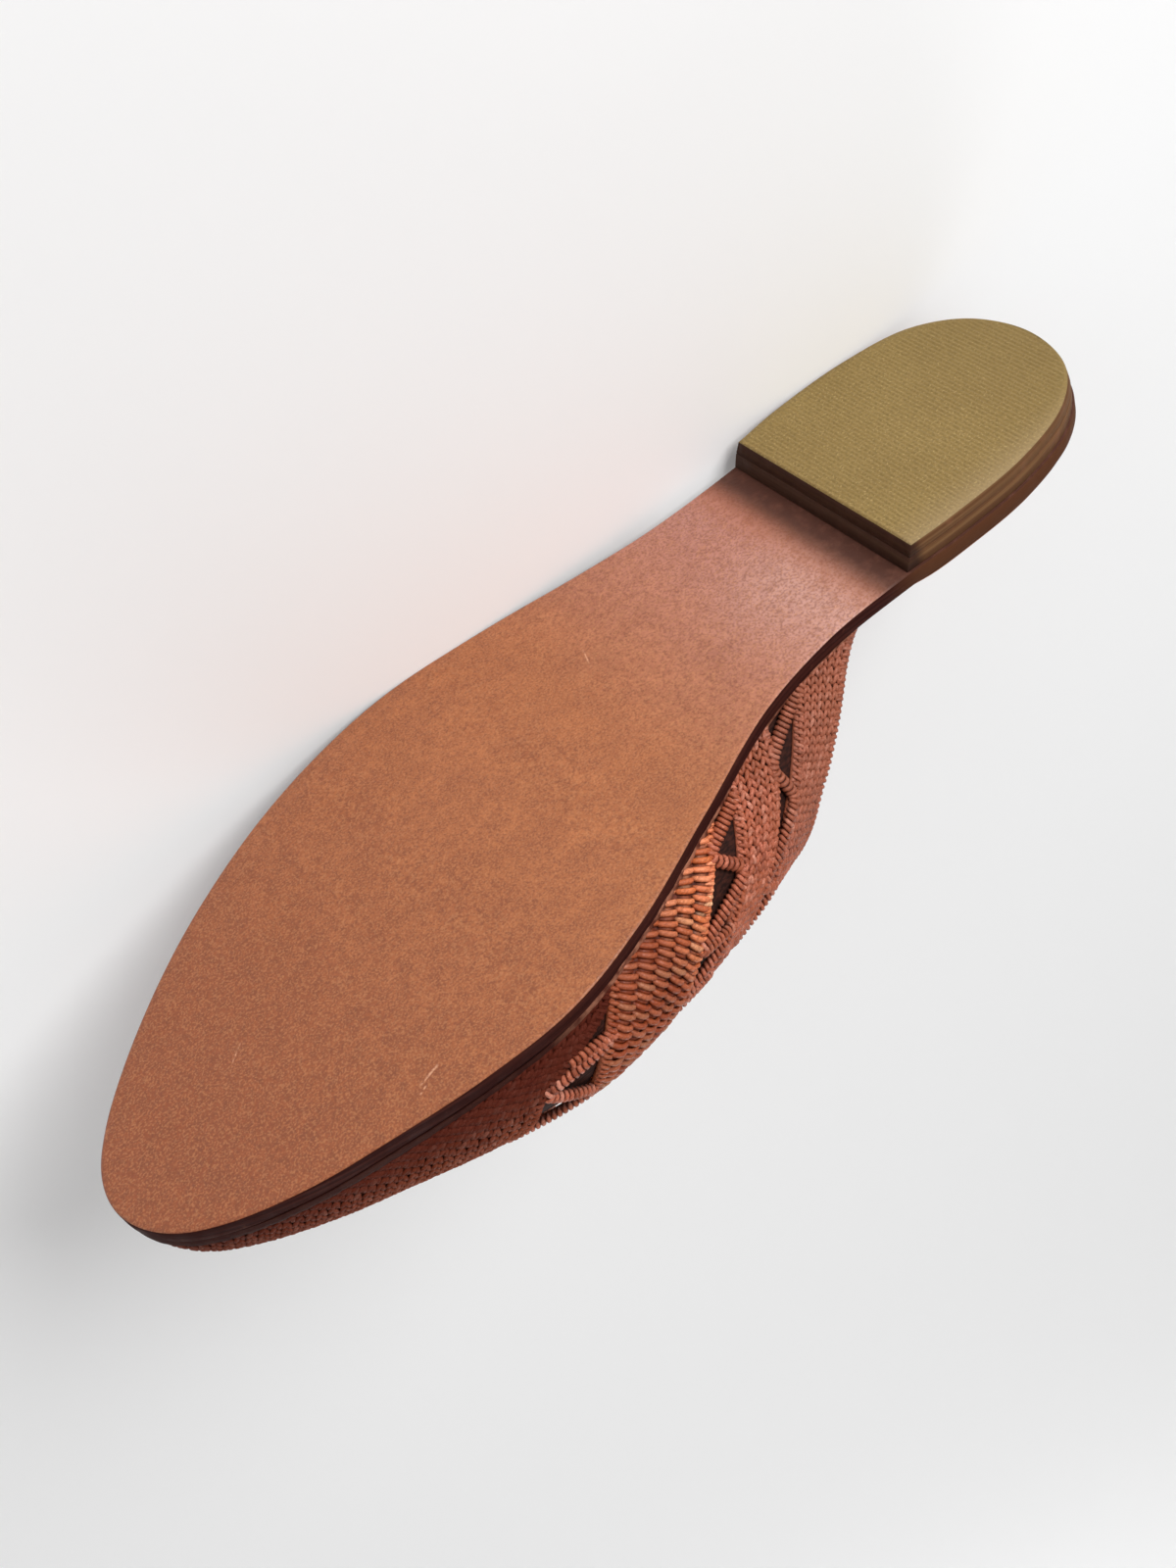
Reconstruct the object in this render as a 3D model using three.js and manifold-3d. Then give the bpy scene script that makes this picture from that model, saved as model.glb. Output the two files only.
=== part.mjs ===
// A woven raffia mule, left shoe, in millimetres.
// The shoe is built standing in its own axes and then laid on its outer side.
// Its own axes: X from heel to toe, +Y to the outer side of the foot, +Z up from the tread.

import * as THREE from "three";
import { mergeVertices } from "three/addons/utils/BufferGeometryUtils.js";
import Module from "manifold-3d";

const wasm = await Module();
wasm.setup();

// Driving dimensions
const GAP = 0.3;
const LIFT_THICKNESS = 2.8;
const HEEL_HEIGHT = 6;
const HEEL_LENGTH = 64;
const BREAST_SLANT = 2.5;
const HEEL_INSET = 0.4;
const LIFT_INSET = 0.8;
const OUTSOLE_THICKNESS = 4;
const INSOLE_THICKNESS = 1.8;
const INSOLE_INSET_HEEL = 1.2;
const UPPER_INSET = 1.4;
const WALL = 2;
const RIB_HEIGHT = 0.7;
const RIB_VALLEY = 0.25;
const CORD_WIDTH = 2.8;
const CORD_THICKNESS = 2.2;
const SHOULDER_WIDTH_POWER = 0.62;
const SHOULDER_HEIGHT_POWER = 0.85;
const SIDE_SPACING = 1.6;
const BULGE_POWER = 0.6;
const TOE_WIDTH = 30;

// Turn from standing to lying on the outer side, in degrees
const LIE_ROLL = -87.55;
const LIE_PITCH = -5.24;

// Outline of the outsole from above: outer and inner edge at each distance from the heel
const SOLE_ROWS = [
  { x: 4, outer: 14.5, inner: -14.8 },
  { x: 14, outer: 24, inner: -23.6 },
  { x: 30, outer: 28.2, inner: -28 },
  { x: 50, outer: 29.2, inner: -28.4 },
  { x: 65, outer: 28.2, inner: -27.4 },
  { x: 85, outer: 29.6, inner: -26.6 },
  { x: 105, outer: 32.8, inner: -30 },
  { x: 130, outer: 37.2, inner: -40.5 },
  { x: 155, outer: 39.4, inner: -51.2 },
  { x: 175, outer: 37.4, inner: -56 },
  { x: 195, outer: 32.4, inner: -55 },
  { x: 215, outer: 24.2, inner: -51.2 },
  { x: 230, outer: 15.6, inner: -47.4 },
  { x: 245, outer: 4.4, inner: -41 },
  { x: 254, outer: -4.4, inner: -34.4 },
  { x: 259, outer: -12, inner: -27 },
];
const HEEL_APEX = { x: 0, y: 0 };
const TOE_APEX = { x: 260.6, y: -19.6 };

// Height of the outsole's underside along the shoe: heel seat, low arch, ball and toe spring
const PROFILE_ROWS = [
  { x: 0, z: 6 },
  { x: 52, z: 6 },
  { x: 66, z: 6.05 },
  { x: 95, z: 7.4 },
  { x: 125, z: 7.4 },
  { x: 160, z: 6.8 },
  { x: 190, z: 7.4 },
  { x: 225, z: 9.4 },
  { x: 262, z: 12.2 },
];

// Sections of the upper over the last: top height above the outsole, place of the ridge as a share of the width
// from the outer side, and how far each side swells out
const UPPER_ROWS = [
  { x: 60, height: 55, ridge: 0.62, swellOuter: 0.5, swellInner: 3 },
  { x: 80, height: 54, ridge: 0.64, swellOuter: 1, swellInner: 6.5 },
  { x: 100, height: 50, ridge: 0.65, swellOuter: 1.6, swellInner: 10.5 },
  { x: 120, height: 46.5, ridge: 0.62, swellOuter: 1.8, swellInner: 11.5 },
  { x: 140, height: 43, ridge: 0.59, swellOuter: 1.8, swellInner: 9.5 },
  { x: 160, height: 40, ridge: 0.57, swellOuter: 1.6, swellInner: 6.6 },
  { x: 180, height: 36.5, ridge: 0.56, swellOuter: 1.4, swellInner: 5 },
  { x: 200, height: 31.5, ridge: 0.56, swellOuter: 1, swellInner: 3.5 },
  { x: 220, height: 25, ridge: 0.57, swellOuter: 0.8, swellInner: 1.6 },
  { x: 240, height: 18, ridge: 0.56, swellOuter: 0.4, swellInner: 0.6 },
  { x: 252, height: 13.5, ridge: 0.53, swellOuter: 0.2, swellInner: 0.3 },
  { x: 259, height: 9, ridge: 0.5, swellOuter: 0, swellInner: 0 },
];

// Distance from the heel of each band's edges, from the sole up to the ridge; both sides are alike
const EDGE_AT = [0, 0.2, 0.37, 0.7, 1];
const EDGES = {
  collarRear: [78, 91, 106, 123, 131],
  collarFront: [93, 112, 122.5, 137, 143],
  middleRear: [107, 114.5, 127, 144.5, 152],
  middleFront: [124, 128, 137, 155, 163],
  forwardRear: [130, 141, 151, 167, 174],
  forwardFront: [163, 169, 174, 183, 188],
  capRear: [167, 184, 192, 199, 202],
};

// Steps across a band: share of its width and how far the surface lies in from the crests of the ribs
const BAND_STEPS = [
  { at: 0, inward: 0.7 },
  { at: 0.15, inward: -RIB_HEIGHT },
  { at: 0.33, inward: RIB_VALLEY },
  { at: 0.5, inward: -RIB_HEIGHT },
  { at: 0.67, inward: RIB_VALLEY },
  { at: 0.85, inward: -RIB_HEIGHT },
  { at: 1, inward: 0.7 },
];

// Zigzag cords between the bands: the two edges they join, where they leave the sole and how many turns a side has
const ZIGZAGS = [
  { from: "collarFront", to: "middleRear", start: 0.13, turns: 8 },
  { from: "forwardRear", to: "middleFront", start: 0.1, turns: 8 },
  { from: "capRear", to: "forwardFront", start: 0.1, turns: 7 },
];

// A smooth curve of height over distance, through rows of a table
function smoothColumn(rows, column) {
  const points = rows.map((row) => new THREE.Vector3(row.x, row[column], 0));
  const samples = new THREE.CatmullRomCurve3(points, false, "centripetal").getPoints(rows.length * 12);
  return (x) => interpolate(samples, x);
}

function interpolate(samples, x) {
  if (x <= samples[0].x) return samples[0].y;
  for (let i = 1; i < samples.length; i += 1) {
    if (x <= samples[i].x) {
      const share = (x - samples[i - 1].x) / (samples[i].x - samples[i - 1].x);
      return THREE.MathUtils.lerp(samples[i - 1].y, samples[i].y, share);
    }
  }
  return samples[samples.length - 1].y;
}

const underside = smoothColumn(PROFILE_ROWS, "z");
const upperHeight = smoothColumn(UPPER_ROWS, "height");
const upperRidge = smoothColumn(UPPER_ROWS, "ridge");
const upperSwellOuter = smoothColumn(UPPER_ROWS, "swellOuter");
const upperSwellInner = smoothColumn(UPPER_ROWS, "swellInner");

// The sole's closed outline, heel apex first, along the outer side to the toe and back along the inner side
function soleOutline() {
  const outer = SOLE_ROWS.map((row) => new THREE.Vector3(row.x, row.outer, 0));
  const inner = SOLE_ROWS.map((row) => new THREE.Vector3(row.x, row.inner, 0)).reverse();
  const heel = new THREE.Vector3(HEEL_APEX.x, HEEL_APEX.y, 0);
  const toe = new THREE.Vector3(TOE_APEX.x, TOE_APEX.y, 0);
  return new THREE.CatmullRomCurve3([heel, ...outer, toe, ...inner], true, "centripetal").getPoints(480);
}

const OUTLINE = soleOutline();

// Edges of the outline moved inward by a distance, as the outer and the inner side over x
const insetCache = new Map();
function insetSides(inset) {
  const key = inset.toFixed(3);
  if (insetCache.has(key)) return insetCache.get(key);
  const count = OUTLINE.length - 1;
  const moved = [];
  for (let i = 0; i < count; i += 1) {
    const before = OUTLINE[(i + count - 1) % count];
    const after = OUTLINE[(i + 1) % count];
    const along = after.clone().sub(before).normalize();
    moved.push(new THREE.Vector3(OUTLINE[i].x + along.y * inset, OUTLINE[i].y - along.x * inset, 0));
  }
  let toe = 0;
  let heel = 0;
  moved.forEach((point, i) => {
    if (point.x > moved[toe].x) toe = i;
    if (point.x < moved[heel].x) heel = i;
  });
  const walk = (start, end) => {
    const side = [];
    for (let i = start; i !== end; i = (i + 1) % count) side.push(moved[i]);
    side.push(moved[end]);
    return side;
  };
  const outer = walk(heel, toe);
  const inner = walk(toe, heel).reverse();
  const sides = {
    heelX: moved[heel].x,
    toeX: moved[toe].x,
    outer: (x) => interpolate(outer, x),
    inner: (x) => interpolate(inner, x),
  };
  insetCache.set(key, sides);
  return sides;
}

// A closed solid between an outer and an inner grid of points, each grid as rows of equal length. Where the rows'
// last points meet in one line, as at the toe, that end needs no wall.
function shellGeometry(outerGrid, innerGrid, endsMeet = false) {
  const rows = outerGrid.length;
  const columns = outerGrid[0].length;
  const positions = [];
  outerGrid.flat().forEach((p) => positions.push(p.x, p.y, p.z));
  innerGrid.flat().forEach((p) => positions.push(p.x, p.y, p.z));
  const outerIndex = (i, j) => i * columns + j;
  const innerIndex = (i, j) => rows * columns + i * columns + j;
  const faces = [];
  const quad = (a, b, c, d) => faces.push(a, b, c, a, c, d);
  for (let i = 0; i < rows - 1; i += 1) {
    for (let j = 0; j < columns - 1; j += 1) {
      quad(outerIndex(i, j), outerIndex(i + 1, j), outerIndex(i + 1, j + 1), outerIndex(i, j + 1));
      quad(innerIndex(i, j), innerIndex(i, j + 1), innerIndex(i + 1, j + 1), innerIndex(i + 1, j));
    }
    quad(outerIndex(i, 0), innerIndex(i, 0), innerIndex(i + 1, 0), outerIndex(i + 1, 0));
    const last = columns - 1;
    if (!endsMeet) quad(outerIndex(i, last), outerIndex(i + 1, last), innerIndex(i + 1, last), innerIndex(i, last));
  }
  for (let j = 0; j < columns - 1; j += 1) {
    quad(outerIndex(0, j), outerIndex(0, j + 1), innerIndex(0, j + 1), innerIndex(0, j));
    const last = rows - 1;
    quad(outerIndex(last, j), innerIndex(last, j), innerIndex(last, j + 1), outerIndex(last, j + 1));
  }
  return weld(positions, faces);
}

// One closed surface from points and faces: shared corners merged, empty faces dropped
function weld(positions, faces, tolerance = 1e-3) {
  const loose = new THREE.BufferGeometry();
  loose.setAttribute("position", new THREE.Float32BufferAttribute(positions, 3));
  loose.setIndex(faces);
  const merged = mergeVertices(loose, tolerance);
  const index = merged.getIndex().array;
  const kept = [];
  for (let i = 0; i < index.length; i += 3) {
    const [a, b, c] = [index[i], index[i + 1], index[i + 2]];
    if (a !== b && b !== c && a !== c) kept.push(a, b, c);
  }
  merged.setIndex(kept);
  return merged;
}

// Places along a part of the sole, closer together towards both ends
function stations(start, end, count) {
  const list = [];
  for (let i = 0; i <= count; i += 1) {
    const share = (1 - Math.cos((Math.PI * i) / count)) / 2;
    list.push(THREE.MathUtils.lerp(start, end, share));
  }
  return list;
}

// A slab with the sole's outline: a row of points across it at each station, on a low and a high face
function slabGeometry({ count, across, lowInset, highInset, lowEnd, highEnd, low, high }) {
  const face = (insetAt, end, heightAt) => {
    const base = insetSides(insetAt(0));
    const rear = base.heelX;
    const front = end === null ? insetSides(insetAt(TOE_APEX.x)).toeX : end;
    return stations(rear, front, count).map((x) => {
      const sides = insetSides(insetAt(x));
      const row = [];
      for (let j = 0; j <= across; j += 1) {
        const y = THREE.MathUtils.lerp(sides.outer(x), sides.inner(x), j / across);
        row.push(new THREE.Vector3(x, y, heightAt(x)));
      }
      return row;
    });
  };
  return shellGeometry(face(lowInset, lowEnd, low), face(highInset, highEnd, high));
}

// The upper's surface: x along the shoe, side from -1 at the outer sole edge over 0 at the ridge to 1 at the inner
// sole edge, and depth inward from the outer face
function upperPoint(x, side, depth) {
  const rise = 1 - Math.abs(side);
  const angle = (Math.PI / 2) * rise ** SIDE_SPACING;
  const sides = insetSides(UPPER_INSET + depth);
  const isOuter = side < 0;
  const foot = isOuter ? sides.outer(x) : sides.inner(x);
  const ridge = THREE.MathUtils.lerp(sides.outer(x), sides.inner(x), upperRidge(x));
  const narrowing = Math.min(1, (sides.outer(x) - sides.inner(x)) / TOE_WIDTH);
  const swell = (isOuter ? upperSwellOuter(x) : -upperSwellInner(x)) * narrowing;
  const sine = Math.sin(angle);
  const reach = Math.max(Math.cos(angle), 0) ** SHOULDER_WIDTH_POWER;
  const y = ridge + (foot - ridge) * reach + swell * Math.sin(Math.PI * sine ** BULGE_POWER);
  const floor = underside(x) + OUTSOLE_THICKNESS + GAP;
  const z = floor + (upperHeight(x) - depth) * sine ** SHOULDER_HEIGHT_POWER;
  return new THREE.Vector3(x, y, z);
}

// Where a band's edge lies along the shoe at a place across the foot
const edgeCache = new Map();
function edgeAt(name, side) {
  if (!edgeCache.has(name)) {
    const points = EDGE_AT.map((at, i) => new THREE.Vector2(at, EDGES[name][i]));
    edgeCache.set(name, new THREE.SplineCurve(points).getPoints(40));
  }
  return interpolate(edgeCache.get(name), 1 - Math.abs(side));
}

// Places across the foot, from the outer sole edge over the ridge to the inner sole edge
function crossStations(count) {
  const list = [];
  for (let i = 0; i <= count; i += 1) list.push(-1 + (2 * i) / count);
  return list;
}

// A woven band that arches over the foot, with ribs along it
function bandGeometry(rearName, frontName) {
  const grid = (depthAt) =>
    crossStations(36).map((side) =>
      BAND_STEPS.map((step) => {
        const x = THREE.MathUtils.lerp(edgeAt(rearName, side), edgeAt(frontName, side), step.at);
        return upperPoint(x, side, depthAt(step));
      }),
    );
  return shellGeometry(grid((step) => step.inward), grid(() => WALL));
}

// The closed toe cap, from its rear edge to the toe
function capGeometry() {
  const count = 15;
  const grid = (depth) => {
    const toeX = insetSides(UPPER_INSET + depth).toeX;
    return crossStations(36).map((side) => {
      const rear = edgeAt("capRear", side);
      const row = [];
      for (let i = 0; i <= count; i += 1) {
        const share = Math.sin((Math.PI / 2) * (i / count)) ** 1.15;
        row.push(upperPoint(THREE.MathUtils.lerp(rear, toeX, share), side, depth));
      }
      return row;
    });
  };
  return shellGeometry(grid(0), grid(WALL), true);
}

// A flat cord laid on the upper's surface through a list of places
function cordGeometry(places) {
  const middle = CORD_THICKNESS / 2 - 0.3;
  const centre = places.map((place) => upperPoint(place.x, place.side, middle));
  const outward = places.map((place) => {
    const out = upperPoint(place.x, place.side, middle - 0.5);
    const alongShoe = upperPoint(place.x + 0.5, place.side, middle).sub(upperPoint(place.x - 0.5, place.side, middle));
    const nearSide = Math.min(Math.max(place.side, -0.97), 0.97);
    const overFoot = upperPoint(place.x, nearSide + 0.02, middle).sub(upperPoint(place.x, nearSide - 0.02, middle));
    const normal = alongShoe.cross(overFoot).normalize();
    const away = out.sub(upperPoint(place.x, place.side, middle));
    return normal.dot(away) < 0 ? normal.negate() : normal;
  });
  const outerGrid = [];
  const innerGrid = [];
  centre.forEach((point, i) => {
    const before = centre[Math.max(i - 1, 0)];
    const after = centre[Math.min(i + 1, centre.length - 1)];
    const along = after.clone().sub(before).normalize();
    const across = outward[i].clone().cross(along).normalize().multiplyScalar(CORD_WIDTH / 2);
    const lift = outward[i].clone().multiplyScalar(CORD_THICKNESS / 2);
    outerGrid.push([point.clone().add(lift).sub(across), point.clone().add(lift).add(across)]);
    innerGrid.push([point.clone().sub(lift).sub(across), point.clone().sub(lift).add(across)]);
  });
  return shellGeometry(outerGrid, innerGrid);
}

// The turns of a zigzag cord between two band edges, each sunk a little into its band
function zigzagPlaces({ from, to, start, turns }) {
  const sink = 1.7;
  const corners = [];
  for (let i = -turns; i <= turns; i += 1) {
    const side = (i / turns) * (1 - start);
    const onFrom = (turns - Math.abs(i)) % 2 === 0;
    const name = onFrom ? from : to;
    const other = onFrom ? to : from;
    const inward = Math.sign(edgeAt(name, side) - edgeAt(other, side)) * sink;
    corners.push({ x: edgeAt(name, side) + inward, side });
  }
  const places = [];
  corners.forEach((corner, i) => {
    places.push(corner);
    if (i < corners.length - 1) {
      const next = corners[i + 1];
      places.push({ x: (corner.x + next.x) / 2, side: (corner.side + next.side) / 2 });
    }
  });
  return places;
}

function toManifold(geometry) {
  const clean = geometry.clone();
  clean.deleteAttribute("normal");
  clean.deleteAttribute("uv");
  const merged = mergeVertices(clean, 1e-4);
  const vertProperties = new Float32Array(merged.getAttribute("position").array);
  const triVerts = new Uint32Array(merged.getIndex().array);
  return new wasm.Manifold(new wasm.Mesh({ numProp: 3, vertProperties, triVerts }));
}

function fromManifold(solid) {
  const mesh = solid.getMesh();
  return weld(Array.from(mesh.vertProperties), Array.from(mesh.triVerts), 0.02);
}

// The whole upper: three bands, the toe cap and the zigzag cords joined into one wall
function upperGeometry() {
  const pieces = [
    bandGeometry("collarRear", "collarFront"),
    bandGeometry("middleRear", "middleFront"),
    bandGeometry("forwardRear", "forwardFront"),
    capGeometry(),
    ...ZIGZAGS.map((zigzag) => cordGeometry(zigzagPlaces(zigzag))),
  ];
  const joined = pieces.map(toManifold).reduce((whole, piece) => whole.add(piece));
  return fromManifold(joined);
}

const seatTop = (x) => underside(x) + OUTSOLE_THICKNESS;

const outsoleGeometry = () =>
  slabGeometry({
    count: 44,
    across: 4,
    lowInset: () => 0,
    highInset: () => 0,
    lowEnd: null,
    highEnd: null,
    low: underside,
    high: seatTop,
  });

// The insole lies inside the upper's wall and widens at the bare heel
function insoleInset(x) {
  const underUpper = UPPER_INSET + WALL + GAP + 0.3;
  return THREE.MathUtils.lerp(INSOLE_INSET_HEEL, underUpper, THREE.MathUtils.smoothstep(x, 56, 76));
}

const insoleGeometry = () =>
  slabGeometry({
    count: 44,
    across: 4,
    lowInset: insoleInset,
    highInset: insoleInset,
    lowEnd: null,
    highEnd: null,
    low: (x) => seatTop(x) + GAP,
    high: (x) => seatTop(x) + GAP + INSOLE_THICKNESS,
  });

const breastAt = (z) => HEEL_LENGTH - BREAST_SLANT * (1 - z / HEEL_HEIGHT);

const heelGeometry = () =>
  slabGeometry({
    count: 22,
    across: 2,
    lowInset: () => HEEL_INSET,
    highInset: () => HEEL_INSET,
    lowEnd: breastAt(LIFT_THICKNESS + GAP),
    highEnd: breastAt(HEEL_HEIGHT - GAP),
    low: () => LIFT_THICKNESS + GAP,
    high: () => HEEL_HEIGHT - GAP,
  });

const liftGeometry = () =>
  slabGeometry({
    count: 22,
    across: 2,
    lowInset: () => LIFT_INSET,
    highInset: () => HEEL_INSET,
    lowEnd: breastAt(0),
    highEnd: breastAt(LIFT_THICKNESS),
    low: () => 0,
    high: () => LIFT_THICKNESS,
  });

const leather = new THREE.MeshStandardMaterial({ color: 0xac6c50, roughness: 0.55, metalness: 0 });
const stackedLeather = new THREE.MeshStandardMaterial({ color: 0x4a2a20, roughness: 0.5, metalness: 0 });
const rubber = new THREE.MeshStandardMaterial({ color: 0x9b824b, roughness: 0.7, metalness: 0 });
const lining = new THREE.MeshStandardMaterial({ color: 0xb0764f, roughness: 0.6, metalness: 0 });
const raffia = new THREE.MeshStandardMaterial({ color: 0xbe6950, roughness: 0.75, metalness: 0 });

function piece(name, geometry, material) {
  const mesh = new THREE.Mesh(geometry, material);
  mesh.name = name;
  return mesh;
}

const standing = new THREE.Group();
standing.add(piece("outsole", outsoleGeometry(), leather));
standing.add(piece("heel_block", heelGeometry(), stackedLeather));
standing.add(piece("top_lift", liftGeometry(), rubber));
standing.add(piece("insole", insoleGeometry(), lining));
standing.add(piece("upper", upperGeometry(), raffia));

// Lay the shoe on its outer side, its lowest point on the floor and its box centred on the origin
const lying = new THREE.Group();
lying.add(standing);
standing.rotation.set(THREE.MathUtils.degToRad(LIE_ROLL), THREE.MathUtils.degToRad(LIE_PITCH), 0, "YXZ");
lying.updateMatrixWorld(true);
const box = new THREE.Box3().setFromObject(lying, true);
const middle = box.getCenter(new THREE.Vector3());
standing.position.set(-middle.x, -middle.y, -box.min.z);

export default lying;
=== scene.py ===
from functools import lru_cache

import bmesh
import bpy
import numpy as np
from mathutils import Matrix, Vector


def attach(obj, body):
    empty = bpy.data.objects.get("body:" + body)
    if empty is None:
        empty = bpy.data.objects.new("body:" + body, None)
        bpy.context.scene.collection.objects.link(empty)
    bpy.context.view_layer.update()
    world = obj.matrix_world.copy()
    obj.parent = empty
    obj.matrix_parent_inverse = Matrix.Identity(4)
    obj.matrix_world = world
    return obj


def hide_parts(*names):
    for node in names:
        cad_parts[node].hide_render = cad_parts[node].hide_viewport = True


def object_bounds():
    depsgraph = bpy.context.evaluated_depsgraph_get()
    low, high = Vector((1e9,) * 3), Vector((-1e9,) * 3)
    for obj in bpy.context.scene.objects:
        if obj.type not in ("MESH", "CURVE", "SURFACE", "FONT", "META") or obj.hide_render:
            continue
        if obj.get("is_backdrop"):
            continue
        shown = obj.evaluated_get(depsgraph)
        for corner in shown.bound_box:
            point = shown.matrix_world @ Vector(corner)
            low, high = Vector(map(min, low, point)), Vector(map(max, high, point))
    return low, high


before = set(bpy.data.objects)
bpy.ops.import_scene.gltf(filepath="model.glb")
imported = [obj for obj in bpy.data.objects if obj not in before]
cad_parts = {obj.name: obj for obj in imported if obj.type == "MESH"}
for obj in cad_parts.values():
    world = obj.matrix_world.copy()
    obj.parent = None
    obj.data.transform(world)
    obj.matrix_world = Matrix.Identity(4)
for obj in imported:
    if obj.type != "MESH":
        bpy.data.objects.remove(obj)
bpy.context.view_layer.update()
scene = bpy.context.scene

# The shoe is shaped standing, in millimetres: X from heel to toe, +Y to the outer side of the foot, +Z up.
# It is then laid on its outer side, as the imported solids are.
LIE_ROLL, LIE_PITCH = np.radians((-87.55, -5.24))
TURN = np.array(Matrix.Rotation(LIE_PITCH, 3, "Y") @ Matrix.Rotation(LIE_ROLL, 3, "X"))


def standing_points(node):
    """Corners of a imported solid, turned back to the standing shoe's axes, in millimetres."""
    return np.array([v.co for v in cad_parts[node].data.vertices]) * 1000 @ TURN


sole_points = standing_points("outsole")
heel_end = sole_points[sole_points[:, 0] < sole_points[:, 0].min() + 0.01].mean(0)
tread_height = standing_points("top_lift")[:, 2].min()
SHIFT = TURN @ np.array((heel_end[0], heel_end[1], tread_height))


def lay(points):
    """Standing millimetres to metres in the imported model's frame."""
    return (np.asarray(points) @ TURN.T + SHIFT) / 1000


# Sizes of the sole and heel, and the gap under the upper and the footbed
OUTSOLE_THICKNESS = 4.0
HEEL_HEIGHT = 6.0
HEEL_LENGTH = 64.0
BREAST_SLANT = 2.5
GAP = 0.3

# Sizes of the upper: how far the foot of the wall lies in from the sole's edge, and the depths of the backing
# wall's two faces below the crests
UPPER_INSET = 1.4
BACKING_DEPTH = 0.6
LINING_DEPTH = 2.0

# The bend of the upper's sections: powers of the turn, the reach to the side, the swell and the height, and
# the width of the sole below which the swell gets less
TURN_POWER = 1.6
REACH_POWER = 0.62
SWELL_POWER = 0.6
HEIGHT_POWER = 0.85
FULL_SWELL_WIDTH = 30

# Steps along and across the upper for its outward directions, and how near the sole they are taken
STEP_ALONG = 0.4
STEP_ACROSS = 0.012
LAST_SIDE = 0.985

# Outline of the outsole from above: distance from the heel, outer edge, inner edge
SOLE_ROWS = (
    (4, 14.5, -14.8),
    (14, 24, -23.6),
    (30, 28.2, -28),
    (50, 29.2, -28.4),
    (65, 28.2, -27.4),
    (85, 29.6, -26.6),
    (105, 32.8, -30),
    (130, 37.2, -40.5),
    (155, 39.4, -51.2),
    (175, 37.4, -56),
    (195, 32.4, -55),
    (215, 24.2, -51.2),
    (230, 15.6, -47.4),
    (245, 4.4, -41),
    (254, -4.4, -34.4),
    (259, -12, -27),
)
HEEL_APEX = (0, 0)
TOE_APEX = (260.6, -19.6)

# Height of the outsole's underside along the shoe
PROFILE_ROWS = (
    (0, 6),
    (52, 6),
    (66, 6.05),
    (95, 7.4),
    (125, 7.4),
    (160, 6.8),
    (190, 7.4),
    (225, 9.4),
    (262, 12.2),
)

# Sections of the upper: distance from the heel, top height above the outsole, place of the ridge as a share
# of the width from the outer side, swell of the outer side, swell of the inner side
UPPER_ROWS = (
    (60, 55, 0.62, 0.5, 3),
    (80, 54, 0.64, 1, 6.5),
    (100, 50, 0.65, 1.6, 10.5),
    (120, 46.5, 0.62, 1.8, 11.5),
    (140, 43, 0.59, 1.8, 9.5),
    (160, 40, 0.57, 1.6, 6.6),
    (180, 36.5, 0.56, 1.4, 5),
    (200, 31.5, 0.56, 1, 3.5),
    (220, 25, 0.57, 0.8, 1.6),
    (240, 18, 0.56, 0.4, 0.6),
    (252, 13.5, 0.53, 0.2, 0.3),
    (259, 9, 0.5, 0, 0),
)

# Distance from the heel of each band's edges, at shares of the way from the sole up to the ridge, and the
# steps of the curves through them
EDGE_STEPS = 41
EDGE_AT = (0, 0.1, 0.2, 0.3, 0.4, 0.7, 1)
EDGES = {
    "collar_rear": (77, 84, 91, 99.5, 107, 118, 122),
    "collar_front": (95, 100.5, 107.5, 116.5, 124, 137, 143),
    "middle_rear": (106.5, 109.5, 115, 122, 129, 144.5, 152),
    "middle_front": (121, 124.5, 129.3, 135, 141, 155, 163),
    "forward_rear": (128, 134, 141.2, 147.5, 153, 164, 171),
    "forward_front": (164.5, 167.5, 171, 174.5, 177, 184, 189),
    "cap_rear": (165, 169.5, 182, 188.5, 191, 198, 202),
}

# Points of a welded piece that are closer than this, in metres, become one
WELD_DISTANCE = 2e-6


def hermite(p1, p2, m1, m2, w):
    """Points at shares w of the way from p1 to p2, with slopes m1 and m2 at the ends."""
    return p1 + m1 * w + (3 * (p2 - p1) - 2 * m1 - m2) * w**2 + (2 * (p1 - p2) + m1 + m2) * w**3


def smooth(points, count, closed=False):
    """A centripetal curve through points, in count even steps over all its spans."""
    points = np.asarray(points, float)
    if closed:
        ring = np.vstack((points[-1], points, points[0], points[1]))
        spans = len(points)
    else:
        ring = np.vstack((2 * points[0] - points[1], points, 2 * points[-1] - points[-2]))
        spans = len(points) - 1
    place = np.linspace(0, spans, count + 1)
    i = np.minimum(place.astype(int), spans - 1)
    w = (place - i)[:, None]
    p0, p1, p2, p3 = ring[i], ring[i + 1], ring[i + 2], ring[i + 3]
    pairs = ((p0, p1), (p1, p2), (p2, p3))
    d0, d1, d2 = (np.linalg.norm(b - a, axis=1)[:, None] ** 0.5 for a, b in pairs)
    m1 = ((p1 - p0) / d0 - (p2 - p0) / (d0 + d1) + (p2 - p1) / d1) * d1
    m2 = ((p2 - p1) / d1 - (p3 - p1) / (d1 + d2) + (p3 - p2) / d2) * d1
    return hermite(p1, p2, m1, m2, w)


def column(rows, index):
    """A smooth function of the distance from the heel, through one column of a table."""
    line = smooth([(row[0], row[index]) for row in rows], len(rows) * 12)
    return lambda x: np.interp(x, line[:, 0], line[:, 1])


underside = column(PROFILE_ROWS, 1)
upper_height = column(UPPER_ROWS, 1)
ridge_share = column(UPPER_ROWS, 2)
swell_outer = column(UPPER_ROWS, 3)
swell_inner = column(UPPER_ROWS, 4)

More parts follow.
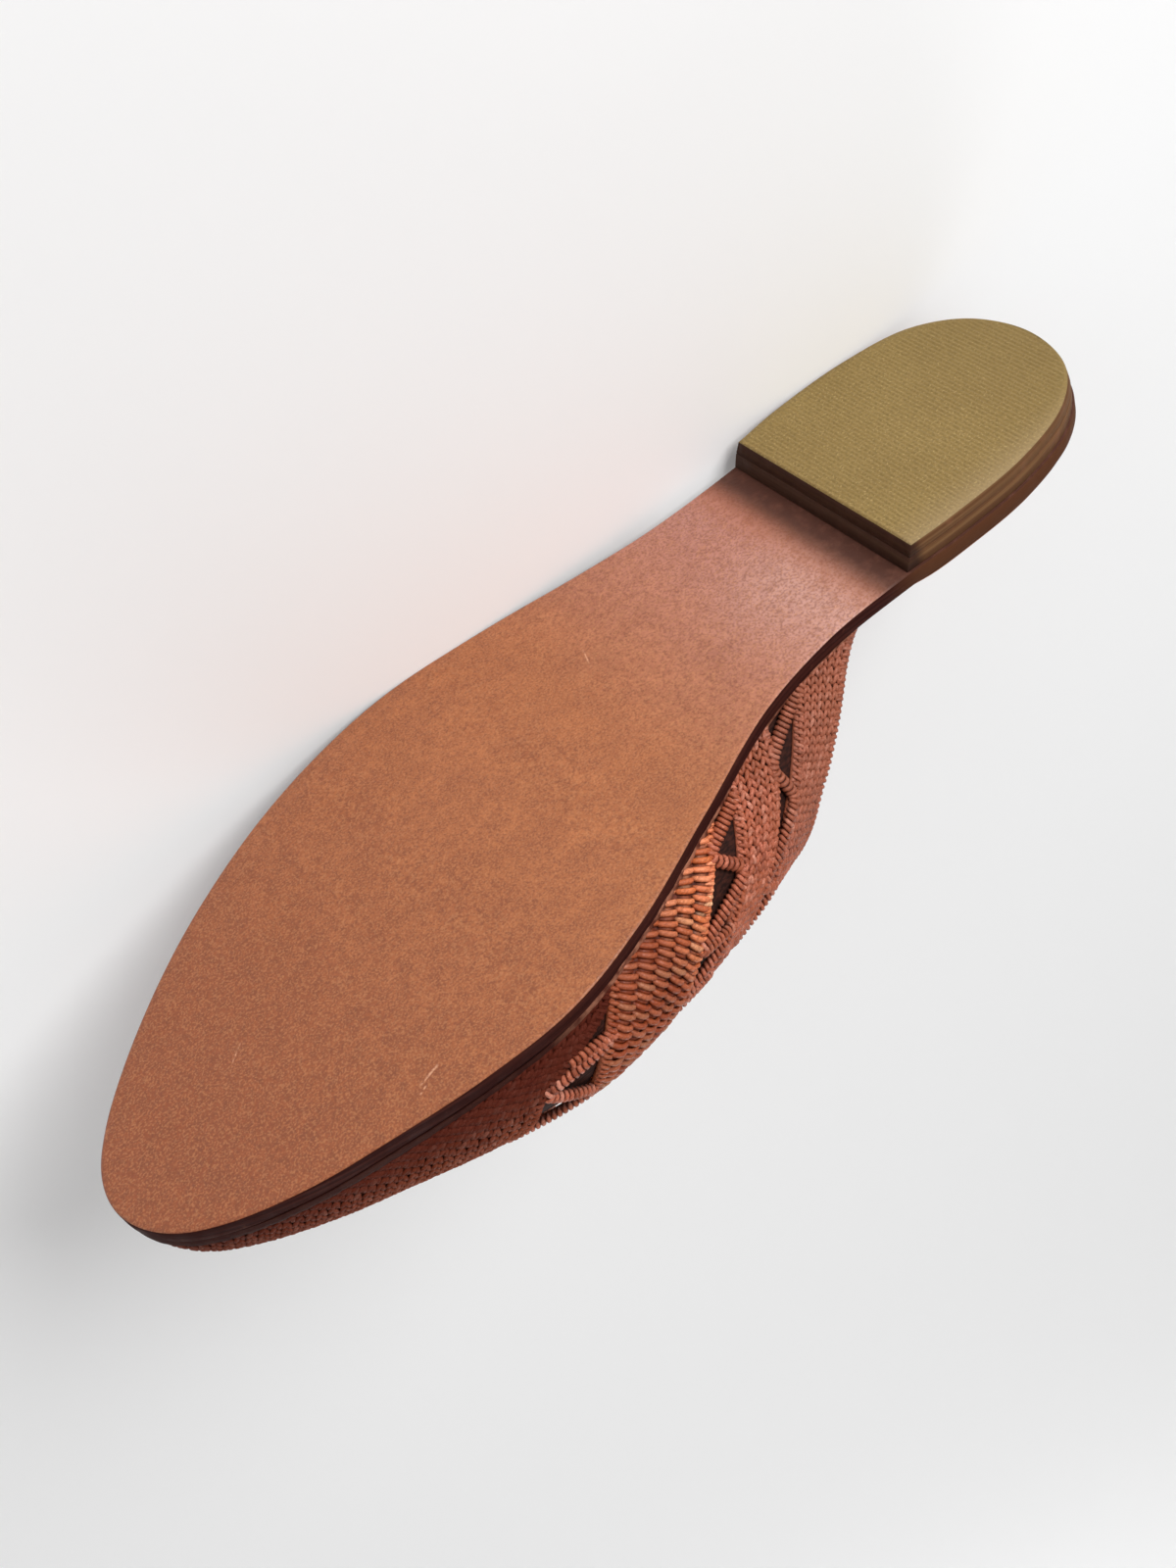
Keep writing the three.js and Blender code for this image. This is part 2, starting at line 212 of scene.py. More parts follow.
outer_edge = [(x, outer) for x, outer, inner in SOLE_ROWS]
inner_edge = [(x, inner) for x, outer, inner in reversed(SOLE_ROWS)]
OUTLINE = smooth([HEEL_APEX, *outer_edge, TOE_APEX, *inner_edge], 1440, closed=True)[:-1]


@lru_cache(None)
def side_lines(inset):
    """The outline's outer and inner side, moved inward, each from heel to toe."""
    along = np.roll(OUTLINE, -1, 0) - np.roll(OUTLINE, 1, 0)
    along /= np.linalg.norm(along, axis=1)[:, None]
    moved = OUTLINE + inset * np.column_stack((along[:, 1], -along[:, 0]))
    moved = np.roll(moved, -moved[:, 0].argmin(), 0)
    toe = moved[:, 0].argmax()
    return moved[: toe + 1], np.vstack((moved[toe:], moved[:1]))[::-1]


def side_y(inset, x):
    """The outline's outer and inner y at distances from the heel."""
    outer, inner = side_lines(inset)
    return np.interp(x, outer[:, 0], outer[:, 1]), np.interp(x, inner[:, 0], inner[:, 1])


def seat(x):
    """Height of the outsole's top."""
    return underside(x) + OUTSOLE_THICKNESS


def upper_point(x, side, depth):
    """The upper's surface. side is -1 at the outer sole edge, 0 at the ridge and 1 at the inner sole edge."""
    y_outer, y_inner = side_y(UPPER_INSET + depth, x)
    on_outer = side < 0
    ridge = y_outer + (y_inner - y_outer) * ridge_share(x)
    narrowing = np.minimum(1, (y_outer - y_inner) / FULL_SWELL_WIDTH)
    swell = np.where(on_outer, swell_outer(x), -swell_inner(x)) * narrowing
    angle = np.pi / 2 * (1 - np.abs(side)) ** TURN_POWER
    sine = np.sin(angle)
    reach = np.maximum(np.cos(angle), 0) ** REACH_POWER
    bulge = swell * np.sin(np.pi * sine**SWELL_POWER)
    y = ridge + (np.where(on_outer, y_outer, y_inner) - ridge) * reach + bulge
    z = seat(x) + GAP + (upper_height(x) - depth) * sine**HEIGHT_POWER
    return np.stack((x, y, z), -1)


def surface(x, side):
    """Points and outward directions on the outer face of the backing wall."""
    x, side = np.broadcast_arrays(np.asarray(x, float), np.asarray(side, float))
    depth = BACKING_DEPTH
    near = np.clip(side, -LAST_SIDE, LAST_SIDE)
    along = upper_point(x + STEP_ALONG, side, depth) - upper_point(x - STEP_ALONG, side, depth)
    over = upper_point(x, near + STEP_ACROSS, depth) - upper_point(x, near - STEP_ACROSS, depth)
    normal = np.cross(over, along)
    normal /= np.linalg.norm(normal, axis=-1)[..., None]
    return upper_point(x, side, depth), normal


@lru_cache(None)
def edge_curve(name):
    """A band's edge in fine steps: shares of the way up to the ridge, and distances from the heel."""
    place = np.linspace(0, len(EDGE_AT) - 1, EDGE_STEPS)
    i = np.minimum(place.astype(int), len(EDGE_AT) - 2)
    curves = []
    for values in (np.array(EDGE_AT, float), np.array(EDGES[name], float)):
        ring = np.concatenate((values[:1], values, values[-1:]))
        p0, p1, p2, p3 = ring[i], ring[i + 1], ring[i + 2], ring[i + 3]
        curves.append(hermite(p1, p2, (p2 - p0) / 2, (p3 - p1) / 2, place - i))
    return curves


def edge(name, side):
    """Distance from the heel of a band's edge at a place across the foot."""
    return np.interp(1 - np.abs(side), *edge_curve(name))


class Pile:
    """Points and faces of one piece, gathered part by part."""

    def __init__(self):
        self.points = []
        self.faces = []
        self.looks = []
        self.crests = []
        self.count = 0

    def add(self, points, faces, look=0, crest=1.0):
        """Adds a part. look is its material's number; crest is how far a point stands out of the weave, which
        sets the painted shade in the folds.
        """
        points = np.asarray(points).reshape(-1, 3)
        self.points.append(points)
        self.crests.append(np.broadcast_to(np.ravel(crest), len(points)))
        self.faces.append(np.asarray(faces).reshape(-1, 4) + self.count)
        self.looks += [look] * len(self.faces[-1])
        self.count += len(points)

    def join(self, a, b, look=0, flip=False):
        """Adds a strip of faces between two lines of as many points."""
        count = len(a)
        i = np.arange(count - 1)
        quads = np.stack((i, i + count, i + count + 1, i + 1), -1)
        self.add(np.vstack((a, b)), quads[:, ::-1] if flip else quads, look)

    def build(self, name, looks, replaced, weld=False):
        """Makes the piece and says its body and the solids it replaces."""
        points = np.vstack(self.points)
        mesh = bpy.data.meshes.new(name)
        mesh.from_pydata(lay(points).tolist(), [], np.vstack(self.faces).tolist())
        for look in looks:
            mesh.materials.append(look)
        mesh.polygons.foreach_set("material_index", self.looks)
        own = mesh.attributes.new("own", "FLOAT_VECTOR", "POINT")
        own.data.foreach_set("vector", (points / 1000).ravel())
        crest = mesh.attributes.new("crest", "FLOAT", "POINT")
        crest.data.foreach_set("value", np.concatenate(self.crests))
        if weld:
            work = bmesh.new()
            work.from_mesh(mesh)
            bmesh.ops.remove_doubles(work, verts=work.verts, dist=WELD_DISTANCE)
            work.to_mesh(mesh)
            work.free()
        mesh.polygons.foreach_set("use_smooth", [True] * len(mesh.polygons))
        mesh.validate()
        mesh.update()
        piece = bpy.data.objects.new(name, mesh)
        scene.collection.objects.link(piece)
        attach(piece, "root")
        for node in replaced:
            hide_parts(node)


def grid_faces(rows, columns, flip=False):
    """Faces over a grid of points, numbered row by row."""
    i, j = np.meshgrid(np.arange(rows - 1), np.arange(columns - 1), indexing="ij")
    a = i * columns + j
    quads = np.stack((a, a + columns, a + columns + 1, a + 1), -1).reshape(-1, 4)
    return quads[:, ::-1] if flip else quads


# Surfaces with colour, grain, wear, and painted light and shade


def srgb(red, green, blue):
    """A screen colour as linear shares, fully opaque."""
    shares = np.array((red, green, blue)) / 255
    return (*np.where(shares <= 0.04045, shares / 12.92, ((shares + 0.055) / 1.055) ** 2.4), 1.0)


class Look:
    """A material, its nodes and the colour laid on it so far."""

    def __init__(self, name, roughness, specular):
        self.material = bpy.data.materials.new(name)
        self.material.use_nodes = True
        self.nodes = self.material.node_tree.nodes
        self.links = self.material.node_tree.links
        self.shader = self.nodes["Principled BSDF"]
        self.shader.inputs["Roughness"].default_value = roughness
        self.shader.inputs["Specular IOR Level"].default_value = specular
        self.own = self.attribute("own").outputs["Vector"]
        self.top = None

    def attribute(self, name):
        """A node that reads one of the mesh's attributes."""
        node = self.nodes.new("ShaderNodeAttribute")
        node.attribute_name = name
        return node

    def texture(self, kind, scale, stretch=(1, 1, 1)):
        """A texture with a feature size of about one over scale, in metres of the shoe's own axes."""
        mapping = self.nodes.new("ShaderNodeMapping")
        mapping.inputs["Scale"].default_value = stretch
        self.links.new(self.own, mapping.inputs["Vector"])
        texture = self.nodes.new(kind)
        texture.inputs["Scale"].default_value = scale
        self.links.new(mapping.outputs["Vector"], texture.inputs["Vector"])
        return texture

    def noise(self, scale, detail, stretch=(1, 1, 1), distortion=0.0):
        """Cloudy noise from about 0.2 to 0.8."""
        texture = self.texture("ShaderNodeTexNoise", scale, stretch)
        texture.inputs["Detail"].default_value = detail
        texture.inputs["Distortion"].default_value = distortion
        return texture.outputs["Fac"]

    def cells(self, scale):
        """Distance from the middles of scattered cells."""
        return self.texture("ShaderNodeTexVoronoi", scale).outputs["Distance"]

    def parts(self, vector):
        """The three parts of a vector."""
        split = self.nodes.new("ShaderNodeSeparateXYZ")
        self.links.new(vector, split.inputs["Vector"])
        return split.outputs

    def axis(self, index):
        """Distance along one of the shoe's own axes, in metres."""
        return self.parts(self.own)[index]

    def streak(self, x, y, angle, length, width):
        """A thin broken line on the sole, from its middle, direction, length and width in millimetres."""
        shift = self.nodes.new("ShaderNodeMapping")
        shift.vector_type = "TEXTURE"
        shift.inputs["Location"].default_value = (x / 1000, y / 1000, 0)
        shift.inputs["Rotation"].default_value = (0, 0, np.radians(angle))
        self.links.new(self.own, shift.inputs["Vector"])
        shifted = self.parts(shift.outputs["Vector"])
        from_middle = self.maths("ABSOLUTE", shifted[0], 0)
        from_line = self.maths("ABSOLUTE", shifted[1], 0)
        along = self.span(from_middle, length / 4000, length / 2000, 0.7, 0.0)
        across = self.span(from_line, width / 5000, width / 2000, 1.0, 0.0)
        return self.times(self.times(along, across), self.span(self.noise(900, 2), 0.4, 0.6))

    def span(self, value, low, high, to_low=0.0, to_high=1.0):
        """Maps a value from one range to another, smoothly and clamped."""
        node = self.nodes.new("ShaderNodeMapRange")
        node.interpolation_type = "SMOOTHSTEP"
        for key, number in (("From Min", low), ("From Max", high), ("To Min", to_low), ("To Max", to_high)):
            node.inputs[key].default_value = number
        self.links.new(value, node.inputs["Value"])
        return node.outputs["Result"]

    def connect(self, socket, value):
        """Sets a socket to a number or colour, or links it."""
        if isinstance(value, (int, float, tuple)):
            socket.default_value = value
        else:
            self.links.new(value, socket)

    def maths(self, kind, a, b):
        node = self.nodes.new("ShaderNodeMath")
        node.operation = kind
        self.connect(node.inputs[0], a)
        self.connect(node.inputs[1], b)
        return node.outputs["Value"]

    def times(self, a, b):
        return self.maths("MULTIPLY", a, b)

    def mix(self, share, a, b):
        """Mixes two colours, each a colour or a socket."""
        node = self.nodes.new("ShaderNodeMix")
        node.data_type = "RGBA"
        self.connect(node.inputs[0], share)
        self.connect(node.inputs[6], a)
        self.connect(node.inputs[7], b)
        return node.outputs[2]

    def start(self, share, shade, other):
        """Starts the colour with two shades."""
        self.top = self.mix(share, srgb(*shade), srgb(*other))

    def tint(self, share, shade):
        """Lays a shade over the colour so far, by a share."""
        self.top = self.mix(share, self.top, srgb(*shade))

    def rough(self, socket):
        self.links.new(socket, self.shader.inputs["Roughness"])

    def finish(self, *layers):
        """Links the colour and the bump layers, each a height socket and its depth in metres."""
        self.links.new(self.top, self.shader.inputs["Base Color"])
        before = None
        for height, depth in layers:
            node = self.nodes.new("ShaderNodeBump")
            node.inputs["Strength"].default_value = 1.0
            node.inputs["Distance"].default_value = depth
            self.links.new(height, node.inputs["Height"])
            if before is not None:
                self.links.new(before, node.inputs["Normal"])
            before = node.outputs["Normal"]
        self.links.new(before, self.shader.inputs["Normal"])
        return self.material


def sole_leather():
    """Sienna leather with a fine grain and a few scratches, a painted sheen at the waist, a redder toe and a
    painted heel shadow.
    """
    look = Look("sole_leather", 0.42, specular=0.4)
    along = look.axis(0)
    fine = look.noise(1650, 3)
    mottle = look.noise(420, 4)
    look.start(look.span(look.noise(40, 4), 0.3, 0.7), (171, 102, 60), (163, 96, 55))
    look.tint(look.span(look.noise(130, 3, distortion=0.5), 0.35, 0.7, 0.0, 0.48), (140, 78, 46))
    # Painted sheen: a pink highlight over the waist, and a paler painted highlight on its inner half
    look.tint(look.span(along, 0.062, 0.135, 0.8, 0.0), (184, 130, 123))
    waist = look.span(along, 0.074, 0.105, 0.55, 0.0)
    look.tint(look.times(waist, look.span(look.axis(1), 0.014, -0.01)), (204, 162, 150))
    # Redder and more mottled towards the toe
    look.tint(look.span(along, 0.145, 0.25, 0.0, 0.9), (134, 68, 37))
    patches = look.span(mottle, 0.36, 0.68)
    look.tint(look.times(patches, look.span(along, 0.11, 0.21, 0.28, 0.62)), (124, 66, 38))
    # The grain's dark pores and light flecks
    look.tint(look.span(fine, 0.42, 0.64, 0.0, 0.5), (110, 58, 36))
    look.tint(look.span(look.noise(2200, 3), 0.44, 0.68, 0.0, 0.36), (196, 134, 88))
    for scratch in SCRATCHES:
        look.tint(look.streak(*scratch), (212, 158, 124))
    # Painted shadow of the heel on the sole in front of it, with a soft brown edge
    look.tint(look.span(along, 0.069, 0.081, 0.6, 0.0), (150, 80, 42))
    heel_shadow = look.span(along, 0.0672, 0.0746, 0.98, 0.0)
    look.tint(look.times(heel_shadow, look.span(mottle, 0.2, 0.6, 0.9, 1.0)), (64, 28, 12))
    # Matt beside the heel, uneven gloss elsewhere
    worn = look.span(look.noise(90, 3), 0.3, 0.7, 0.36, 0.52)
    look.rough(look.maths("MAXIMUM", worn, look.span(along, 0.062, 0.075, 0.9, 0.3)))
    creases, pores = look.noise(24, 2), look.cells(1100)
    return look.finish((creases, 0.0012), (mottle, 0.00008), (fine, 0.00007), (pores, 0.00004))


def edge_paint():
    """Dark brown paint on the cut edge of the sole, lighter over the heel, its layers showing faintly."""
    look = Look("edge_paint", 0.75, specular=0.05)
    layers = look.noise(260, 3, stretch=(0.12, 0.12, 6))
    look.start(look.span(layers, 0.35, 0.7), (46, 18, 15), (64, 30, 24))
    look.tint(look.span(look.noise(420, 3), 0.64, 0.8, 0.0, 0.4), (104, 62, 44))
    look.tint(look.span(look.axis(0), 0.058, 0.072, 0.8, 0.0), (92, 57, 36))
    look.rough(look.span(look.noise(300, 2), 0.3, 0.7, 0.62, 0.8))
    return look.finish((layers, 0.0001), (look.noise(1400, 2), 0.00004))


def heel_paint():
    """Brown painted stacked leather: its layers are fine lines along the heel, its front is darker."""
    look = Look("heel_paint", 0.66, specular=0.1)
    layers = look.noise(180, 3, stretch=(0.1, 0.1, 8))
    look.start(look.span(layers, 0.35, 0.68), (92, 60, 37), (114, 82, 53))
    look.tint(look.span(look.noise(260, 3), 0.5, 0.75, 0.0, 0.5), (122, 80, 56))
    look.tint(look.span(look.axis(0), 0.0585, 0.0615, 0.0, 0.8), (40, 20, 18))
    look.rough(look.span(look.noise(300, 2), 0.3, 0.7, 0.58, 0.76))
    return look.finish((layers, 0.0001), (look.noise(1500, 2), 0.00005))


def lift_rubber():
    """Olive rubber with a fine matt grain, darker at the heel's end and greyer along its inner edge."""
    look = Look("lift_rubber", 0.62, specular=0.3)
    fine = look.noise(1600, 3)
    look.start(look.span(look.noise(60, 3), 0.3, 0.7), (139, 115, 65), (134, 110, 61))
    look.tint(look.span(fine, 0.4, 0.68, 0.0, 0.5), (104, 84, 44))
    look.tint(look.span(look.noise(2000, 2), 0.56, 0.74, 0.0, 0.5), (188, 164, 112))
    look.tint(look.span(look.axis(0), 0.035, 0.0, 0.0, 0.4), (116, 94, 50))
    look.tint(look.span(look.axis(1), -0.018, -0.031, 0.0, 0.45), (156, 134, 104))
    return look.finish((fine, 0.00008))


def footbed_leather():
    """Smooth tan leather of the footbed, with pores and faint creases."""
    look = Look("footbed_leather", 0.48, specular=0.4)
    fine = look.noise(1500, 3)
    look.start(look.span(look.noise(38, 4), 0.3, 0.7), (190, 128, 92), (176, 112, 78))
    look.tint(look.span(fine, 0.4, 0.7, 0.0, 0.3), (140, 84, 56))
    look.rough(look.span(look.noise(70, 3), 0.3, 0.7, 0.4, 0.56))
    return look.finish((look.noise(30, 3), 0.0007), (look.cells(900), 0.00005), (fine, 0.00004))


def margin_and_gap_shadow():
    """The lining's margin that shows between upper and sole: pale and pinkish, and ahead of the ball dark as
    a painted shadow of the gap.
    """
    look = Look("margin_and_gap_shadow", 0.8, specular=0.08)
    look.start(look.span(look.noise(350, 3), 0.35, 0.65), (168, 112, 88), (92, 48, 36))
    # Painted shadow of the gap between upper and sole, ahead of the ball
    look.tint(look.span(look.axis(0), 0.165, 0.185, 0.0, 0.96), (50, 20, 16))
    return look.finish((look.noise(800, 3), 0.0002))


def raffia(name, shades, painted_shade_low=0.0, roughness=0.5, specular=0.38, painted_shade_ahead=0.0):
    """Raffia strands, each with its own shade, fibres, painted shade in the folds and a slight gloss.
    painted_shade_low paints shade on what is close to the sole; painted_shade_ahead paints shade on the low
    part in front of the ball of the foot."""
    look = Look(name, roughness, specular)
    strand = look.nodes.new("ShaderNodeNewGeometry").outputs["Random Per Island"]
    ramp = look.nodes.new("ShaderNodeValToRGB")
    ramp.color_ramp.interpolation = "LINEAR"
    while len(ramp.color_ramp.elements) < len(shades):
        ramp.color_ramp.elements.new(0.5)
    for element, (place, shade) in zip(ramp.color_ramp.elements, shades):
        element.position = place
        element.color = srgb(*shade)
    look.links.new(strand, ramp.inputs["Fac"])
    look.top = ramp.outputs["Color"]
    fibres = look.noise(1500, 3, stretch=(1, 1.6, 1.6), distortion=0.6)
    look.tint(look.span(fibres, 0.35, 0.7, 0.0, 0.5), (104, 46, 28))
    look.tint(look.span(look.noise(2600, 2), 0.6, 0.75, 0.0, 0.35), (228, 164, 134))
    look.tint(look.span(look.noise(70, 2), 0.35, 0.7, 0.0, 0.35), (156, 78, 40))
    # Duller towards the collar
    look.tint(look.span(look.axis(0), 0.125, 0.105, 0.0, 0.4), (130, 82, 64))
    # Painted shade in the folds between the strands and on their undersides
    crest = look.attribute("crest").outputs["Fac"]
    look.tint(look.span(crest, -0.1, 0.85, 0.92, 0.0), (62, 24, 15))
    # Painted shade close to the sole
    if painted_shade_low:
        look.tint(look.span(look.axis(2), 0.014, 0.036, painted_shade_low, 0.1), (66, 18, 9))
    # Painted shade on the low part in front of the ball
    if painted_shade_ahead:
        low = look.span(look.axis(2), 0.03, 0.05, painted_shade_ahead, 0.0)
        look.tint(look.times(look.span(look.axis(0), 0.144, 0.157), low), (120, 42, 6))
    look.rough(look.span(fibres, 0.3, 0.7, roughness - 0.08, roughness + 0.16))
    return look.finish((fibres, 0.00014))


def backing():
    """The inner side of the crochet, closer and darker."""
    look = Look("backing", 0.7, specular=0.3)
    rows = look.noise(700, 2)
    look.start(look.span(rows, 0.35, 0.65), (112, 50, 32), (70, 29, 20))
    return look.finish((look.cells(620), 0.0003), (rows, 0.0002))


def shadow_sheet_material():
    """A dark brown sheet with a close rib: a painted shadow for the shade seen through the openings."""
    look = Look("shadow_sheet_material", 0.8, specular=0.15)
    rib = look.noise(900, 2, stretch=(0.3, 2.0, 2.0))
    look.start(look.span(rib, 0.35, 0.65), (58, 28, 20), (34, 15, 11))
    return look.finish((rib, 0.00015), (look.noise(1800, 2), 0.00005))


# Shades of the strands: place in the scatter and colour
SHADES = (
    (0.0, (138, 66, 40)),
    (0.3, (178, 94, 64)),
    (0.55, (194, 109, 82)),
    (0.8, (160, 79, 46)),
    (1.0, (214, 140, 116)),
)
FORWARD_SHADES = (
    (0.0, (190, 92, 48)),
    (0.3, (246, 142, 94)),
    (0.55, (255, 164, 118)),
    (0.8, (220, 114, 58)),
    (1.0, (255, 196, 148)),
)
# Scratches on the sole: middle in millimetres, direction in degrees, length and width
SCRATCHES = (
    (201.7, -46.3, -10, 6.0, 0.7),
    (204.3, -48.0, -20, 2.4, 0.5),
    (120, 12, -70, 9.0, 0.4),
    (226, -12, -35, 5.0, 0.4),
)
SOLE_LEATHER = sole_leather()
EDGE_PAINT = edge_paint()
HEEL_PAINT = heel_paint()
LIFT_RUBBER = lift_rubber()
FOOTBED_LEATHER = footbed_leather()
MARGIN_AND_GAP_SHADOW = margin_and_gap_shadow()
RAFFIA = raffia("raffia", SHADES)
# The cap's copy paints shade close to the sole; the forward band's copy paints shade low in front of the ball
RAFFIA_CAP = raffia("raffia_cap", SHADES, painted_shade_low=0.92, roughness=0.7, specular=0.1)
RAFFIA_FORWARD = raffia("raffia_forward", FORWARD_SHADES, painted_shade_ahead=0.74)
BACKING = backing()
SHADOW_SHEET_MATERIAL = shadow_sheet_material()


# Sole, heel, lift and footbed as layers with rounded edges


def slab_rows(shares, across, inset, end, height):
    """Rows of points across a layer, from the heel to the toe or to an end line."""
    outer = side_lines(inset)[0]
    start = outer[0, 0]
    stop = outer[-1, 0] if end is None else end
    x = start + (stop - start) * shares
    y_outer, y_inner = side_y(inset, x)
    if end is None:
        y_outer[-1] = y_inner[-1] = outer[-1, 1]
    y_outer[0] = y_inner[0] = outer[0, 1]
    share = np.linspace(0, 1, across + 1)
    y = y_outer[:, None] + (y_inner - y_outer)[:, None] * share
    x = np.repeat(x[:, None], across + 1, 1)
    return np.stack((x, y, height(x)), -1)


def rim(rows):
    """The points round a grid, in order."""
    return np.vstack((rows[:-1, 0], rows[-1, :-1], rows[:0:-1, -1], rows[:1, -1]))


def layer(name, grids, wall_looks, looks, node, lowest=None):
    """A closed piece between stacked grids of points, with a look for each wall and the top; lowest replaces
    the points of the first face."""
    pile = Pile()
    rows, columns = grids[0].shape[:2]
    pile.add(grids[0] if lowest is None else lowest, grid_faces(rows, columns))
    pile.add(grids[-1], grid_faces(rows, columns, flip=True), wall_looks[-1])
    for lower, upper, look in zip(grids, grids[1:], wall_looks):
        pile.join(rim(lower), rim(upper), look)
    pile.build(name, looks, [node], weld=True)


def slab(name, shares, across, levels, looks, node, groove=None):
    """A layer with the outline of the sole. Each level has an inset, an end line or None, a height function
    and the look of the wall above it, or of the top; groove changes the points of the lowest face."""
    grids = [slab_rows(shares, across, inset, end, height) for inset, end, height, look in levels]
    lowest = None if groove is None else groove(grids[0].copy())
    layer(name, grids, [level[3] for level in levels], looks, node, lowest)


def eased(count):
    """Shares from 0 to 1, close together at both ends."""
    return (1 - np.cos(np.pi * np.linspace(0, 1, count + 1))) / 2


def raised_by(amount):
    """A height that follows the sole's underside."""
    return lambda x: underside(x) + amount


def flat_at(z):
    """The same height everywhere."""
    return lambda x: np.full_like(x, z)


def breast(z):
    """Distance from the heel of the heel's slanted front at a height."""
    return HEEL_LENGTH - BREAST_SLANT * (1 - z / HEEL_HEIGHT)


slab(
    "sole",
    shares=eased(220),
    across=12,
    levels=[
        (0.75, None, raised_by(0.0), 0),
        (0.3, None, raised_by(0.08), 0),
        (0.06, None, raised_by(0.32), 1),
        (0.0, None, raised_by(0.8), 1),
        (0.0, None, raised_by(3.4), 1),
        (0.15, None, raised_by(3.8), 1),
        (0.6, None, raised_by(3.98), 2),
    ],
    looks=[SOLE_LEATHER, EDGE_PAINT, EDGE_PAINT],
    node="outsole",
)
slab(
    "heel_stack",
    shares=eased(110),
    across=8,
    levels=[
        (0.55, breast(3.0) - 0.15, flat_at(2.84), 0),
        (0.42, breast(3.0), flat_at(2.95), 0),
        (0.4, breast(4.4), flat_at(4.4), 0),
        (0.4, breast(5.8), flat_at(5.86), 0),
        (0.5, breast(5.8) - 0.1, flat_at(5.97), 0),
    ],
    looks=[HEEL_PAINT],
    node="heel_block",
)

# The lift's ribs: pitch, depth, how narrow the grooves are, and the columns over which they die out
RIB_PITCH = 1.05
RIB_DEPTH = 0.16
RIB_POWER = 1.4
RIB_FADE = 1.5
# The share of the tread's length at the round end of the heel that has rows closer together
ROUND_END = 0.05


def rib_groove(points):
    """Fine ribs across the tread, dying out at its edge."""
    wave = (0.5 - 0.5 * np.cos(2 * np.pi * points[..., 0] / RIB_PITCH)) ** RIB_POWER
    fade = np.minimum(1, np.arange(points.shape[1]) / RIB_FADE)
    fade = np.minimum(fade, fade[::-1])
    points[..., 2] += RIB_DEPTH * wave * fade
    return points


slab(
    "lift",
    shares=np.concatenate(((np.linspace(0, 1, 20) ** 2) * ROUND_END, np.linspace(ROUND_END, 1, 440)[1:])),
    across=30,
    levels=[
        (1.15, breast(0) - 0.3, flat_at(0.02), 0),
        (0.85, breast(0), flat_at(0.3), 1),
        (0.45, breast(2.7), flat_at(2.7), 1),
        (0.55, breast(2.7) - 0.15, flat_at(2.82), 1),
    ],
    looks=[LIFT_RUBBER, HEEL_PAINT],
    node="top_lift",
    groove=rib_groove,
)

# The footbed: how far it lies in from the sole's edge behind and inside the upper, and where it narrows
FOOTBED_REAR_INSET = 1.2
FOOTBED_FRONT_INSET = 4.0
NARROWS_FROM = 56
NARROWS_OVER = 20
FOOTBED_STEPS = 160
FOOTBED_COLUMNS = 13
# Its levels: further inset, and height above its underside
FOOTBED_LEVELS = ((0.3, 0.0), (0.0, 0.25), (0.0, 1.3), (0.15, 1.6), (0.6, 1.78))


def footbed_rows(inset, amount):
    """Rows of the footbed, which narrows to lie inside the upper's wall."""
    rear, front = FOOTBED_REAR_INSET, FOOTBED_FRONT_INSET
    start = side_lines(round(rear + inset, 3))[0][0, 0]
    stop = side_lines(round(front + inset, 3))[0][-1, 0]
    rows = []
    for x in start + (stop - start) * eased(FOOTBED_STEPS):
        share = np.clip((x - NARROWS_FROM) / NARROWS_OVER, 0, 1)
        share = share * share * (3 - 2 * share)
        y_outer, y_inner = side_y(round(float(rear + (front - rear) * share + inset), 2), x)
        y = np.linspace(float(y_outer), float(y_inner), FOOTBED_COLUMNS)
        rows.append(np.column_stack((np.full_like(y, x), y, np.full_like(y, seat(x) + GAP + amount))))
    rows = np.array(rows)
    rows[0, :, 1] = rows[0, :, 1].mean()
    rows[-1, :, 1] = rows[-1, :, 1].mean()
    return rows


layer(
    "footbed",
    [footbed_rows(inset, amount) for inset, amount in FOOTBED_LEVELS],
    [1, 1, 0, 0, 0],
    [FOOTBED_LEATHER, EDGE_PAINT],
    "insole",
)


# Strands and walls of the crochet

# How much a strand narrows at its ends, and how much lighter its top is painted than its sides: a painted
# highlight
END_SHARE = 0.45
TOP_LIGHT = 0.3
# The steps in which a course is measured, and the steepest slant its stitches follow
COURSE_SAMPLES = 1401
MAX_SLOPE = 0.8
# Scatter of the stitches: along in pitches, across in shares of the course, height in shares of the rise
SCATTER = (0.05, 0.035, 0.06)
# Rows of the backing wall over the foot, and the share of them that crowds towards the sole
WALL_ROWS = 150
CROWDING = 0.35


